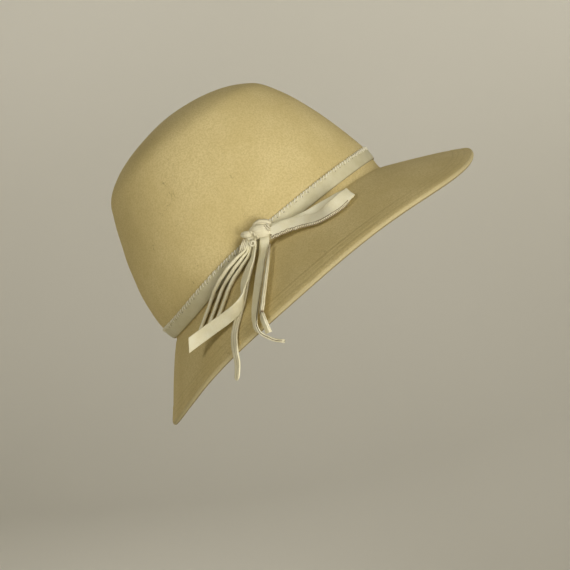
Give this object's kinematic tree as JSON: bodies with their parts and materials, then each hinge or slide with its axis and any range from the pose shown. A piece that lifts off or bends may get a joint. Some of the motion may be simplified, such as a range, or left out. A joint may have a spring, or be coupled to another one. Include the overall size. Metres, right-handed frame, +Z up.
{
  "type": "felt fedora",
  "caption": "Round-crowned felt hat with a brim turned down all round and a narrow leather band knotted in a bow with hanging tails at one side.",
  "frame": {"origin": "middle of the head opening, where the brim leaves the crown, at the head that holds the hat up", "axes": "+X to the wearer's front, +Y to the wearer's left, +Z up, with the hat tipped back as it is worn"},
  "size_m": [0.2698, 0.2857, 0.258],
  "materials": {
    "felt": "brushed wool felt, matte",
    "leather": "soft ivory leather, satin"
  },
  "bodies": {
    "root": {"felt_body": "felt", "hat_band": "leather", "knot": "leather", "bow_loop": "leather", "tail_flared": "leather", "tail_long": "leather", "tail_curled": "leather", "tail_kinked": "leather", "tail_edge_1": "leather", "tail_edge_2": "leather", "tail_edge_3": "leather"}
  },
  "joints": []
}
